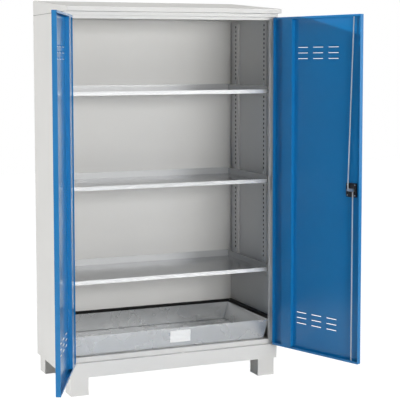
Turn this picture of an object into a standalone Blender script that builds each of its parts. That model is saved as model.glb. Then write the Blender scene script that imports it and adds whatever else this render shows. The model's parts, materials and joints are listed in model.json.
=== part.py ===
"""Dangerous goods storage cabinet: a steel cupboard with two wing doors, three tray shelves and a sump tray.

Units are metres. X runs from the left side to the right side, Y from the front to the back, Z up.
Pieces are first laid out from the cabinet's own corner: X = 0 at the left side, Y = 0 at the front plane,
Z = 0 on the floor. The whole cabinet then hangs on one empty, which puts the origin under the middle of
the front left foot. Pieces of the right half are the left ones mirrored.
"""
import math

import bmesh
import bpy
from mathutils import Matrix, Vector

# Driving sizes of the cabinet
WIDTH = 1.220
DEPTH = 0.600
FOOT_HEIGHT = 0.096
FOOT_SIDE = 0.098
FOOT_INSET_X = 0.015
FOOT_INSET_Y = 0.006
PLINTH_HEIGHT = 0.078
BOTTOM_RAIL_HEIGHT = 0.024
OPENING_HEIGHT = 1.781
LINTEL_HEIGHT = 0.016
HEADER_HEIGHT = 0.0185
FASCIA_HEIGHT = 0.024
ROOF_RISE = 0.058
ROOF_OVERHANG = 0.043
RECESS = 0.0275
SHEET = 0.0012
GAP = 0.0003
OVERRUN = 0.004

# Side panels: front strip, recessed jamb and returns
FRONT_STRIP = 0.010
JAMB_EDGE = 0.0355
JAMB_RETURN = 0.0125
REAR_RETURN = 0.020
FLOOR_FLANGE = 0.028

# Feet
FOOT_WALL = 0.003
FOOT_ACCESS_RADIUS = 0.018

# Perforated rails and the clips that hook into them
RAIL_FACE = 0.016
RAIL_WIDTH = 0.056
RAIL_SHEET = 0.0012
RAIL_FRONT_MIDDLE = 0.137
RAIL_REAR_INSET = 0.094
RAIL_BELOW_SHELF = 0.0535
RAIL_BELOW_LINTEL = 0.003
SLOT_PITCH = 0.025
SLOT_WIDTH = 0.013
SLOT_HEIGHT = 0.012
CLIP_WIDTH = 0.007
CLIP_THICKNESS = 0.002
CLIP_LEDGE = 0.022
CLIP_TONGUE = 0.006
CLIP_TONGUE_HEIGHT = 0.005
CLIP_HEAD = 0.007
CLIP_ABOVE_LIP = 0.0315

# Shelves, folded as trays
LOWEST_SHELF = 0.4005
SHELF_PITCH = 0.500
SHELF_SIDE = 0.022
SHELF_FRONT = 0.066
SHELF_REAR_GAP = 0.002
SHELF_SHEET = 0.0015
SHELF_LIP_HEIGHT = 0.021
SHELF_LIP_ABOVE_FLOOR = 0.0135
SHELF_LIP_DEPTH = 0.012
SHELF_LIP_RETURN = 0.008
SHELF_REAR_RISE = 0.037
SHELF_SIDE_RISE = 0.0335

# Sump tray, its seal and its plate
SUMP_SHEET = 0.003
SUMP_STAND = 0.004
SKID_WIDTH = 0.040
SKID_INSET = 0.180
SKID_BACK = 0.060
SUMP_HEIGHT = 0.1085
SUMP_RIM_HEIGHT = 0.0115
SUMP_FOOT_SIDE = 0.058
SUMP_TOP_SIDE = 0.029
SUMP_RIM_SIDE = 0.004
SUMP_FOOT_FRONT = 0.052
SUMP_TOP_FRONT = 0.0452
SUMP_RIM_FRONT = 0.0415
SUMP_FOOT_REAR_INSET = 0.021
SUMP_TOP_REAR_INSET = 0.023
SUMP_RIM_REAR_INSET = 0.0035
SEAL_HEIGHT = 0.0137
SEAL_SIDE = 0.0018
PLATE_LEFT_OF_MIDDLE = 0.015
PLATE_WIDTH = 0.120
PLATE_ABOVE_FLOOR = 0.028
PLATE_HEIGHT = 0.066
PLATE_THICKNESS = 0.0008

# Doors: folded pans with a hat stiffener and louvres
DOOR_SIDE = 0.0135
DOOR_MEETING_GAP = 0.003
DOOR_END_GAP = 0.003
DOOR_THICKNESS = 0.0245
DOOR_SHEET = 0.0012
DOOR_LIP = 0.012
LEFT_OPENING = math.radians(114.26)
RIGHT_OPENING = math.radians(110.72)
STIFFENER_START = 0.0645
STIFFENER_WIDTH = 0.0715
STIFFENER_FLANGE = 0.012
LOUVRE_LENGTH = 0.070
LOUVRE_PITCH_X = 0.1045
LOUVRE_HEIGHT = 0.010
LOUVRE_OPEN = 0.003
LOUVRE_DEPTH = 0.006
LOUVRE_COLUMNS = 3
LOUVRE_ROWS = 3
LOUVRE_PITCH_Z = 0.030
LOUVRE_BELOW_TOP = 0.161
LOUVRE_ABOVE_BOTTOM = 0.150

# Hinges: an axis just in front of the gap between side panel and door
HINGE_X = 0.0105
HINGE_Y = -0.005
KNUCKLE_RADIUS = 0.0045
HINGE_PIN_RADIUS = 0.002
HINGE_PIN_CLEARANCE = 0.0003
HINGE_LENGTH = 0.090
HINGE_LEAF = 0.0013
HINGE_LEAF_DEPTH = 0.022
HINGE_INSET = 0.173
KNUCKLE_GAP = 0.0005
KNUCKLES = 3

# Espagnolette lock at mid height of the right door, measured from its free edge
LOCK_INSET = 0.062
HOUSING_WIDTH = 0.067
HOUSING_HEIGHT = 0.0735
HOUSING_DEPTH = 0.0085
HOUSING_CORNER = 0.006
CAM_RADIUS = 0.016
CAM_EAR = 0.0075
CAM_THICKNESS = 0.003
CAM_PIN_RADIUS = 0.0025
ROD_RADIUS = 0.0035
ROD_EYE_RADIUS = 0.006
ROD_EYE_THICKNESS = 0.003
ROD_EYE_CLEARANCE = 0.0003
ROD_END_GAP = 0.002
GUIDE_INSET = 0.047
GUIDE_SLOT_WIDTH = 0.016
GUIDE_SLOT_DEPTH = 0.0078
GUIDE_WIDTH = 0.034
GUIDE_DEPTH = 0.0115
GUIDE_THICKNESS = 0.003
SPINDLE_SIDE = 0.008
SPINDLE_CLEARANCE = 0.0006
ROSE_RADIUS = 0.026
ROSE_THICKNESS = 0.006
HUB_RADIUS = 0.017
HUB_LENGTH = 0.016
HUB_WEB = 0.003
GRIP_LENGTH = 0.056
GRIP_WIDTH = 0.020
GRIP_THICKNESS = 0.010
CYLINDER_RADIUS = 0.0085
CYLINDER_PROUD = 0.0015
CYLINDER_DEPTH = 0.009
CYLINDER_CLEARANCE = 0.0003
KEYWAY_WIDTH = 0.0015
KEYWAY_HEIGHT = 0.009
KEYWAY_DEPTH = 0.006
CATCH_HOLE_WIDTH = 0.018
CATCH_HOLE_DEPTH = 0.011

# How finely round shapes are divided
ROUND_SIDES = 24
SMALL_SIDES = 12
SMOOTH_ANGLE = math.radians(40)

# Sizes that follow from the ones above
PLINTH_TOP = FOOT_HEIGHT + PLINTH_HEIGHT
FLOOR_TOP = PLINTH_TOP + BOTTOM_RAIL_HEIGHT
LINTEL_BOTTOM = FLOOR_TOP + OPENING_HEIGHT
HEADER_BOTTOM = LINTEL_BOTTOM + LINTEL_HEIGHT
BODY_TOP = HEADER_BOTTOM + HEADER_HEIGHT
FASCIA_TOP = BODY_TOP + FASCIA_HEIGHT
ROOF_RIDGE = FASCIA_TOP + ROOF_RISE
INNER_SIDE = SHEET + GAP
BACK_OUTER = DEPTH - SHEET - GAP
BACK_INNER = BACK_OUTER - SHEET
INNER_REAR = BACK_INNER - GAP
JAMB_BACK = RECESS + JAMB_RETURN
RAIL_REAR_MIDDLE = DEPTH - RAIL_REAR_INSET
RAIL_TOP = LINTEL_BOTTOM - RAIL_BELOW_LINTEL
SHELF_REAR = INNER_REAR - SHELF_REAR_GAP
SHELF_LIP_TOPS = {level: FLOOR_TOP + LOWEST_SHELF + step * SHELF_PITCH
                  for step, level in enumerate(("lower", "middle", "upper"))}
RAIL_BOTTOM = SHELF_LIP_TOPS["lower"] - RAIL_BELOW_SHELF
SUMP_LOW = FLOOR_TOP + SUMP_STAND
SUMP_RIM_TOP = FLOOR_TOP + SUMP_HEIGHT
SUMP_FOOT_REAR = INNER_REAR - SUMP_FOOT_REAR_INSET
SUMP_TOP_REAR = INNER_REAR - SUMP_TOP_REAR_INSET
SUMP_RIM_REAR = INNER_REAR - SUMP_RIM_REAR_INSET
PLATE_LEFT = WIDTH / 2 - PLATE_LEFT_OF_MIDDLE
PLATE_BOTTOM = FLOOR_TOP + PLATE_ABOVE_FLOOR
DOOR_WIDTH = WIDTH / 2 - DOOR_MEETING_GAP / 2 - DOOR_SIDE
DOOR_END = DOOR_SIDE + DOOR_WIDTH
DOOR_BOTTOM = PLINTH_TOP + DOOR_END_GAP
DOOR_TOP = HEADER_BOTTOM - DOOR_END_GAP
DOOR_MIDDLE = (DOOR_BOTTOM + DOOR_TOP) / 2
HINGE_HEIGHTS = {
    "lower": DOOR_BOTTOM + HINGE_INSET,
    "middle": DOOR_MIDDLE,
    "upper": DOOR_TOP - HINGE_INSET,
}
LOCK_X = DOOR_END - LOCK_INSET
LOCK_Z = DOOR_MIDDLE
GUIDE_X = DOOR_END - GUIDE_INSET
HOUSING_BACK = DOOR_SHEET + GAP
HOUSING_FRONT = HOUSING_BACK + HOUSING_DEPTH
CAM_FRONT = HOUSING_FRONT + GAP + CAM_THICKNESS
ROD_Y = CAM_FRONT + GAP + ROD_RADIUS
ROOT = Vector((-(FOOT_INSET_X + FOOT_SIDE / 2), -(FOOT_INSET_Y + FOOT_SIDE / 2), 0))
HINGE_AXIS = Vector((HINGE_X, HINGE_Y, 0))
LOCK_AXIS = Vector((LOCK_X, 0, LOCK_Z))

PAINT_GREY = ("light grey powder coat", (0.70, 0.71, 0.715), 0.45, 0.0)
PAINT_BLUE = ("blue powder coat", (0.012, 0.105, 0.290), 0.35, 0.0)
ZINC = ("galvanised steel", (0.62, 0.63, 0.64), 0.35, 1.0)
BRIGHT = ("zinc plated steel", (0.75, 0.76, 0.78), 0.25, 1.0)
BLACK = ("black polyamide", (0.012, 0.012, 0.013), 0.5, 0.0)
RUBBER = ("black rubber", (0.010, 0.010, 0.011), 0.8, 0.0)
PLATE = ("white plate", (0.85, 0.85, 0.84), 0.4, 0.0)


def clear_scene():
    """Remove every object that a new file starts with."""
    for thing in list(bpy.data.objects):
        bpy.data.objects.remove(thing, do_unlink=True)


def material(finish):
    """A Principled material for one finish, made once."""
    name, colour, roughness, metallic = finish
    found = bpy.data.materials.get(name)
    if found:
        return found
    made = bpy.data.materials.new(name)
    made.use_nodes = True
    shader = made.node_tree.nodes["Principled BSDF"]
    shader.inputs["Base Color"].default_value = (*colour, 1)
    shader.inputs["Roughness"].default_value = roughness
    shader.inputs["Metallic"].default_value = metallic
    return made


def empty(name, parent, place, turn_z=0.0):
    """An empty that carries a moving group, with its origin on the joint's axis."""
    made = bpy.data.objects.new(name, None)
    bpy.context.scene.collection.objects.link(made)
    made.parent = parent
    made.location = place
    made.rotation_euler = (0, 0, turn_z)
    return made


def add_box(bm, low, high):
    """A box between two corners."""
    corners = [bm.verts.new((x, y, z))
               for x in (low[0], high[0])
               for y in (low[1], high[1])
               for z in (low[2], high[2])]
    for face in ((0, 1, 3, 2), (4, 6, 7, 5), (0, 4, 5, 1), (2, 3, 7, 6), (0, 2, 6, 4), (1, 5, 7, 3)):
        bm.faces.new([corners[i] for i in face])


def add_prism(bm, outline, axis, start, end):
    """An outline swept straight along an axis. The outline is in the other two axes, in X, Y, Z order."""
    def place(point, along):
        if axis == "X":
            return (along, point[0], point[1])
        if axis == "Y":
            return (point[0], along, point[1])
        return (point[0], point[1], along)

    first = [bm.verts.new(place(point, start)) for point in outline]
    last = [bm.verts.new(place(point, end)) for point in outline]
    bm.faces.new(first)
    bm.faces.new(last)
    for i in range(len(outline)):
        j = (i + 1) % len(outline)
        bm.faces.new((first[i], first[j], last[j], last[i]))


def circle(centre, radius, sides, first_angle=0.0):
    """Points of a regular outline round a centre."""
    turns = (first_angle + 2 * math.pi * i / sides for i in range(sides))
    return [(centre[0] + radius * math.cos(a), centre[1] + radius * math.sin(a)) for a in turns]


def rounded(centre, width, height, corner, steps=4):
    """A rectangle with round corners."""
    points = []
    for quarter, (sx, sy) in enumerate(((1, 1), (-1, 1), (-1, -1), (1, -1))):
        middle = (centre[0] + sx * (width / 2 - corner), centre[1] + sy * (height / 2 - corner))
        for i in range(steps + 1):
            angle = math.pi / 2 * (quarter + i / steps)
            points.append((middle[0] + corner * math.cos(angle), middle[1] + corner * math.sin(angle)))
    return points


def capsule(start, end, radius, sides):
    """The outline of a bar with round ends, from one centre to the other."""
    heading = math.atan2(end[1] - start[1], end[0] - start[0])
    points = []
    for centre, first in ((end, heading - math.pi / 2), (start, heading + math.pi / 2)):
        for i in range(sides // 2 + 1):
            angle = first + 2 * math.pi * i / sides
            points.append((centre[0] + radius * math.cos(angle), centre[1] + radius * math.sin(angle)))
    return points


def folded(path, thickness):
    """The closed outline of a folded sheet: a path and its offset to the left, with mitred corners."""
    def left(a, b):
        run = (b - a).normalized()
        return Vector((-run.y, run.x))

    points = [Vector(p) for p in path]
    offset = []
    for i, point in enumerate(points):
        if i == 0:
            offset.append(point + thickness * left(points[0], points[1]))
        elif i == len(points) - 1:
            offset.append(point + thickness * left(points[-2], points[-1]))
        else:
            before = left(points[i - 1], point)
            after = left(point, points[i + 1])
            mitre = (before + after).normalized()
            offset.append(point + mitre * thickness / mitre.dot(before))
    return [tuple(p) for p in points] + [tuple(p) for p in reversed(offset)]


def add_loops(bm, loops):
    """Skin a list of closed point rings, one after another, and cap the first and the last."""
    rings = [[bm.verts.new(point) for point in loop] for loop in loops]
    for near, far in zip(rings, rings[1:]):
        for i in range(len(near)):
            j = (i + 1) % len(near)
            bm.faces.new((near[i], near[j], far[j], far[i]))
    bm.faces.new(rings[0])
    bm.faces.new(rings[-1])


class Maker:
    """Makes the pieces of one group: it knows their parent, their axis and whether they are mirrored."""

    def __init__(self, parent, pivot=Vector((0, 0, 0)), mirrored=False):
        self.parent = parent
        self.pivot = pivot
        self.mirrored = mirrored

    def mesh(self, name, build):
        """Run a build function on an empty mesh and bring it to the group's own axis."""
        bm = bmesh.new()
        build(bm)
        bmesh.ops.transform(bm, matrix=Matrix.Translation(-self.pivot), verts=bm.verts)
        if self.mirrored:
            bmesh.ops.transform(bm, matrix=Matrix.Scale(-1, 4, Vector((1, 0, 0))), verts=bm.verts)
        bmesh.ops.recalc_face_normals(bm, faces=bm.faces)
        made = bpy.data.meshes.new(name)
        bm.to_mesh(made)
        bm.free()
        return made

    def piece(self, name, finish, build, smooth=False):
        """One named piece with its material."""
        made = bpy.data.objects.new(name, self.mesh(name, build))
        bpy.context.scene.collection.objects.link(made)
        made.parent = self.parent
        made.data.materials.append(material(finish))
        if smooth:
            made.data.shade_smooth()
            made.data.set_sharp_from_angle(angle=SMOOTH_ANGLE)
        return made

    def shape(self, target, operation, build):
        """Join a shape to a piece, or cut it out, with a hidden helper object."""
        label = f"{target.name}_{operation.lower()}_{len(target.modifiers)}"
        helper = bpy.data.objects.new(label, self.mesh(label, build))
        bpy.context.scene.collection.objects.link(helper)
        helper.parent = self.parent
        helper.hide_render = True
        helper.display_type = "WIRE"
        modifier = target.modifiers.new(label, "BOOLEAN")
        modifier.operation = operation
        modifier.solver = "EXACT"
        modifier.object = helper

    def cut(self, target, build):
        self.shape(target, "DIFFERENCE", build)

    def join(self, target, build):
        self.shape(target, "UNION", build)


def half_maker(root, side):
    """A maker for the left half, or for the right half as its mirror image about the middle plane."""
    if side == "left":
        return Maker(root)
    return Maker(empty("right_half", root, (WIDTH, 0, 0)), mirrored=True)


def side_panel(maker, side):
    """Side wall with a front strip, the recessed jamb by the door, and returns at the back and the bottom."""
    path = [(REAR_RETURN, DEPTH), (0, DEPTH), (0, 0), (FRONT_STRIP, 0), (FRONT_STRIP, RECESS),
            (JAMB_EDGE, RECESS), (JAMB_EDGE, JAMB_BACK)]
    panel = maker.piece(f"{side}_side_panel", PAINT_GREY,
                        lambda bm: add_prism(bm, folded(path, SHEET), "Z", FOOT_HEIGHT, BODY_TOP))
    maker.join(panel, lambda bm: add_box(bm, (SHEET / 2, JAMB_BACK + GAP, FOOT_HEIGHT),
                                         (FOOT_INSET_X + FOOT_SIDE, INNER_REAR, FOOT_HEIGHT + SHEET)))


def back_panel(maker):
    """Flat back, welded to the inside of the side panels' rear returns."""
    maker.piece("back_panel", PAINT_GREY,
                lambda bm: add_box(bm, (INNER_SIDE, BACK_INNER, FOOT_HEIGHT),
                                   (WIDTH - INNER_SIDE, BACK_OUTER, BODY_TOP)))


def notched_plate(low_z, high_z):
    """A plate between the side panels, narrower in front where it passes between the jambs."""
    def build(bm):
        side = INNER_SIDE
        neck = JAMB_EDGE + GAP
        back = JAMB_BACK + GAP
        outline = [(neck, RECESS), (WIDTH - neck, RECESS), (WIDTH - neck, back), (WIDTH - side, back),
                   (WIDTH - side, INNER_REAR), (side, INNER_REAR), (side, back), (neck, back)]
        add_prism(bm, outline, "Z", low_z, high_z)
    return build


def floor_panel(maker):
    """Cabinet floor with a front flange that shows as the bottom rail, and flanges down its other edges."""
    under = FLOOR_TOP - SHEET
    panel = maker.piece("floor_panel", PAINT_GREY, notched_plate(under, FLOOR_TOP))
    neck = JAMB_EDGE + GAP
    low = FLOOR_TOP - FLOOR_FLANGE
    middle = under + SHEET / 2
    maker.join(panel, lambda bm: add_box(bm, (neck, RECESS, PLINTH_TOP + GAP),
                                         (WIDTH - neck, RECESS + SHEET, middle)))
    back = JAMB_BACK + GAP

    def side_flanges(bm):
        add_box(bm, (INNER_SIDE, back, low), (INNER_SIDE + SHEET, INNER_REAR, middle))
        add_box(bm, (WIDTH - INNER_SIDE - SHEET, back, low), (WIDTH - INNER_SIDE, INNER_REAR, middle))
    maker.join(panel, side_flanges)


def top_panel(maker):
    """Ceiling of the inside, with a front flange that shows as the lintel."""
    top = HEADER_BOTTOM - GAP
    panel = maker.piece("top_panel", PAINT_GREY, notched_plate(top - SHEET, top))
    neck = JAMB_EDGE + GAP
    middle = top - SHEET / 2
    maker.join(panel, lambda bm: add_box(bm, (neck, RECESS, LINTEL_BOTTOM),
                                         (WIDTH - neck, RECESS + SHEET, middle)))

    def side_flanges(bm):
        back = JAMB_BACK + GAP
        low = top - FLOOR_FLANGE / 2
        add_box(bm, (INNER_SIDE, back, low), (INNER_SIDE + SHEET, INNER_REAR, middle))
        add_box(bm, (WIDTH - INNER_SIDE - SHEET, back, low), (WIDTH - INNER_SIDE, INNER_REAR, middle))
    maker.join(panel, side_flanges)


def catch_hole(maker, target, low_z, high_z):
    """The hole that a rod end enters when the right door is closed and its lock is turned."""
    x = WIDTH - GUIDE_X
    half = CATCH_HOLE_WIDTH / 2
    deep = CATCH_HOLE_DEPTH / 2
    maker.cut(target, lambda bm: add_box(bm, (x - half, ROD_Y - deep, low_z),
                                         (x + half, ROD_Y + deep, high_z)))


def header(maker):
    """Folded channel over the doors. Its underside takes the upper rod."""
    end = RECESS - GAP
    top = BODY_TOP
    side = FRONT_STRIP + GAP
    path = [(end, top), (0, top), (0, HEADER_BOTTOM), (end, HEADER_BOTTOM)]
    channel = maker.piece("header", PAINT_GREY,
                          lambda bm: add_prism(bm, folded(path, SHEET), "X", side, WIDTH - side))
    catch_hole(maker, channel, HEADER_BOTTOM - OVERRUN, HEADER_BOTTOM + SHEET + OVERRUN)


def plinth(maker):
    """Folded channel under the doors. Its top ledge takes the lower rod."""
    end = RECESS - GAP
    side = FRONT_STRIP + GAP
    path = [(end, PLINTH_TOP), (0, PLINTH_TOP), (0, FOOT_HEIGHT), (end, FOOT_HEIGHT)]
    channel = maker.piece("plinth", PAINT_GREY,
                          lambda bm: add_prism(bm, folded(path, SHEET), "X", side, WIDTH - side))
    catch_hole(maker, channel, PLINTH_TOP - SHEET - OVERRUN, PLINTH_TOP + OVERRUN)


def roof(maker):
    """Sloping cap with a fascia in front, a soffit under it and flanges that sit on the body."""
    low = BODY_TOP + GAP
    slope = (ROOF_RIDGE - FASCIA_TOP) / (DEPTH + ROOF_OVERHANG)
    outline = [(-ROOF_OVERHANG, low), (-ROOF_OVERHANG, FASCIA_TOP), (DEPTH, ROOF_RIDGE), (DEPTH, low)]
    front = -ROOF_OVERHANG + SHEET
    rear = DEPTH - SHEET
    drop = SHEET * math.sqrt(1 + slope ** 2)
    hollow = [(front, low + SHEET), (front, FASCIA_TOP + slope * SHEET - drop),
              (rear, ROOF_RIDGE - slope * SHEET - drop), (rear, low + SHEET)]
    cap = maker.piece("roof", PAINT_GREY, lambda bm: add_prism(bm, outline, "X", 0, WIDTH))
    maker.cut(cap, lambda bm: add_prism(bm, hollow, "X", SHEET, WIDTH - SHEET))
    flange = FRONT_STRIP + SHEET
    maker.cut(cap, lambda bm: add_box(bm, (flange, SHEET, low - OVERRUN),
                                      (WIDTH - flange, DEPTH - flange, low + SHEET + OVERRUN / 2)))


def foot_places():
    """Name and lower corner of each foot, as left, right, front and rear."""
    for side in ("left", "right"):
        x = FOOT_INSET_X if side == "left" else WIDTH - FOOT_INSET_X - FOOT_SIDE
        for end in ("front", "rear"):
            y = FOOT_INSET_Y if end == "front" else DEPTH - FOOT_INSET_Y - FOOT_SIDE
            yield side, end, x, y


def feet(maker):
    """Four welded square feet, each a closed box with an access hole in its rear wall."""
    top = FOOT_HEIGHT - GAP
    for side, end, x, y in foot_places():
        foot = maker.piece(f"{end}_{side}_foot", PAINT_GREY, lambda bm, x=x, y=y:
                           add_box(bm, (x, y, 0), (x + FOOT_SIDE, y + FOOT_SIDE, top)))
        maker.cut(foot, lambda bm, x=x, y=y:
                  add_box(bm, (x + FOOT_WALL, y + FOOT_WALL, FOOT_WALL),
                          (x + FOOT_SIDE - FOOT_WALL, y + FOOT_SIDE - FOOT_WALL, top - FOOT_WALL)))
        face = y + FOOT_SIDE
        hole = circle((x + FOOT_SIDE / 2, top / 2), FOOT_ACCESS_RADIUS, ROUND_SIDES)
        maker.cut(foot, lambda bm, hole=hole, face=face:
                  add_prism(bm, hole, "Y", face - FOOT_WALL - OVERRUN, face + OVERRUN))


def slot_heights():
    """Heights of the rail slots: one pitch apart, in step with the shelves' clips."""
    clip = SHELF_LIP_TOPS["upper"] + CLIP_ABOVE_LIP
    lowest = RAIL_BOTTOM + SLOT_HEIGHT
    first = clip - SLOT_PITCH * math.floor((clip - lowest) / SLOT_PITCH)
    count = int((RAIL_TOP - SLOT_HEIGHT - first) / SLOT_PITCH) + 1
    return [first + SLOT_PITCH * i for i in range(count)]


def rails(maker, side):
    """Two perforated channels on each side wall. They end just below the lowest shelf."""
    for end, middle in (("front", RAIL_FRONT_MIDDLE), ("rear", RAIL_REAR_MIDDLE)):
        near = middle - RAIL_WIDTH / 2
        far = middle + RAIL_WIDTH / 2
        path = [(INNER_SIDE, near), (RAIL_FACE, near), (RAIL_FACE, far), (INNER_SIDE, far)]
        rail = maker.piece(f"{end}_{side}_rail", PAINT_GREY, lambda bm, path=path:
                           add_prism(bm, folded(path, RAIL_SHEET), "Z", RAIL_BOTTOM, RAIL_TOP))

        def slots(bm, middle=middle):
            wide = SLOT_WIDTH / 2
            high = SLOT_HEIGHT / 2
            behind = RAIL_FACE - RAIL_SHEET - OVERRUN / 2
            for z in slot_heights():
                add_box(bm, (behind, middle - wide, z - high), (RAIL_FACE + OVERRUN, middle + wide, z + high))
        maker.cut(rail, slots)


def shelf(maker, level, lip_top):
    """A tray shelf: floor, folded front lip, and higher lips at the back and sides."""
    floor = lip_top - SHELF_LIP_ABOVE_FLOOR
    t = SHELF_SHEET
    inner_front = SHELF_FRONT + SHELF_LIP_DEPTH
    hem_low = lip_top - SHELF_LIP_HEIGHT + t
    path = [(SHELF_REAR, floor + SHELF_REAR_RISE), (SHELF_REAR, floor - t), (inner_front - t, floor - t),
            (inner_front - t, lip_top - t), (SHELF_FRONT + t, lip_top - t), (SHELF_FRONT + t, hem_low),
            (SHELF_FRONT + t + SHELF_LIP_RETURN, hem_low)]
    tray = maker.piece(f"{level}_shelf", ZINC, lambda bm: add_prism(bm, folded(path, -t), "X",
                                                                   SHELF_SIDE, WIDTH - SHELF_SIDE))

    def side_lips(bm):
        for wall in (SHELF_SIDE, WIDTH - SHELF_SIDE - t):
            add_box(bm, (wall, inner_front - t / 2, floor - t),
                    (wall + t, SHELF_REAR - t / 2, floor + SHELF_SIDE_RISE))
    maker.join(tray, side_lips)


def shelf_clips(maker, side, level, lip_top):
    """Two hooks that hang in the rail slots of one side and carry the shelf from below."""
    floor = lip_top - SHELF_LIP_ABOVE_FLOOR
    slot = lip_top + CLIP_ABOVE_LIP
    near = RAIL_FACE + GAP
    face = near + CLIP_THICKNESS
    ledge_top = floor - SHELF_SHEET - GAP
    ledge_low = ledge_top - CLIP_THICKNESS
    half = CLIP_TONGUE_HEIGHT / 2
    tongue = near - CLIP_TONGUE
    outline = [(near, ledge_low), (near + CLIP_LEDGE, ledge_low), (near + CLIP_LEDGE, ledge_top),
               (face, ledge_top), (face, slot + CLIP_HEAD), (near, slot + CLIP_HEAD), (near, slot + half),
               (tongue, slot + half), (tongue, slot - half), (near, slot - half)]

    for end, middle in (("front", RAIL_FRONT_MIDDLE), ("rear", RAIL_REAR_MIDDLE)):
        low = middle - CLIP_WIDTH / 2
        maker.piece(f"{level}_shelf_clip_{end}_{side}", BRIGHT, lambda bm, low=low:
                    add_prism(bm, outline, "Y", low, low + CLIP_WIDTH))


def ring(side, front, rear, height):
    """A level rectangle, the same distance from both sides of the cabinet."""
    far = WIDTH - side
    return [(side, front, height), (far, front, height), (far, rear, height), (side, rear, height)]


def sump(maker):
    """Welded sump tray with sloping side walls and a turned-down rim, on two skids."""
    t = SUMP_SHEET
    low = SUMP_LOW
    rim_low = SUMP_RIM_TOP - SUMP_RIM_HEIGHT
    under = SUMP_RIM_TOP - t
    lip = t / 2
    loops = [ring(SUMP_FOOT_SIDE, SUMP_FOOT_FRONT, SUMP_FOOT_REAR, low),
             ring(SUMP_TOP_SIDE, SUMP_TOP_FRONT, SUMP_TOP_REAR + t, under),
             ring(SUMP_RIM_SIDE + lip, SUMP_RIM_FRONT + lip, SUMP_RIM_REAR - lip, under),
             ring(SUMP_RIM_SIDE + lip, SUMP_RIM_FRONT + lip, SUMP_RIM_REAR - lip, rim_low),
             ring(SUMP_RIM_SIDE, SUMP_RIM_FRONT, SUMP_RIM_REAR, rim_low),
             ring(SUMP_RIM_SIDE, SUMP_RIM_FRONT, SUMP_RIM_REAR, SUMP_RIM_TOP),
             ring(SUMP_TOP_SIDE + t, SUMP_TOP_FRONT + t, SUMP_TOP_REAR, SUMP_RIM_TOP),
             ring(SUMP_FOOT_SIDE + t, SUMP_FOOT_FRONT + t, SUMP_FOOT_REAR - t, low + t)]
    tray = maker.piece("sump_tray", ZINC, lambda bm: add_loops(bm, loops))
    front = SUMP_FOOT_FRONT + SKID_BACK
    rear = SUMP_FOOT_REAR - SKID_BACK

    def skids(bm):
        for left in (SUMP_FOOT_SIDE + SKID_INSET, WIDTH - SUMP_FOOT_SIDE - SKID_INSET - SKID_WIDTH):
            add_box(bm, (left, front, FLOOR_TOP + GAP), (left + SKID_WIDTH, rear, low + t / 2))
    maker.join(tray, skids)


def sump_seal(maker):
    """Rubber strip that closes the gap between the sump's rim and the walls, on three sides."""
    low = SUMP_RIM_TOP + GAP
    edge = SUMP_TOP_SIDE + SUMP_SHEET
    front = SUMP_TOP_FRONT
    rear = SUMP_TOP_REAR
    outline = [(SEAL_SIDE, front), (edge, front), (edge, rear), (WIDTH - edge, rear), (WIDTH - edge, front),
               (WIDTH - SEAL_SIDE, front), (WIDTH - SEAL_SIDE, INNER_REAR), (SEAL_SIDE, INNER_REAR)]
    maker.piece("sump_seal", RUBBER, lambda bm: add_prism(bm, outline, "Z", low, low + SEAL_HEIGHT))


def sump_plate(maker):
    """A bare plate on the front wall of the sump, leaning as the wall leans."""
    low = SUMP_LOW
    lean = (SUMP_FOOT_FRONT - SUMP_TOP_FRONT) / (SUMP_RIM_TOP - SUMP_SHEET - low)

    def wall(z):
        return SUMP_FOOT_FRONT - lean * (z - low) - GAP
    top = PLATE_BOTTOM + PLATE_HEIGHT
    outline = [(wall(PLATE_BOTTOM), PLATE_BOTTOM), (wall(top), top), (wall(top) - PLATE_THICKNESS, top),
               (wall(PLATE_BOTTOM) - PLATE_THICKNESS, PLATE_BOTTOM)]
    maker.piece("sump_plate", PLATE,
                lambda bm: add_prism(bm, outline, "X", PLATE_LEFT, PLATE_LEFT + PLATE_WIDTH))


def louvre_places():
    """Left end and middle height of each louvre, from the cabinet's corner."""
    across = (LOUVRE_COLUMNS - 1) * LOUVRE_PITCH_X + LOUVRE_LENGTH
    first = DOOR_SIDE + (DOOR_WIDTH - across) / 2
    for row in range(LOUVRE_ROWS):
        for z in (DOOR_TOP - LOUVRE_BELOW_TOP - row * LOUVRE_PITCH_Z,
                  DOOR_BOTTOM + LOUVRE_ABOVE_BOTTOM + row * LOUVRE_PITCH_Z):
            for column in range(LOUVRE_COLUMNS):
                yield first + column * LOUVRE_PITCH_X, z


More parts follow.
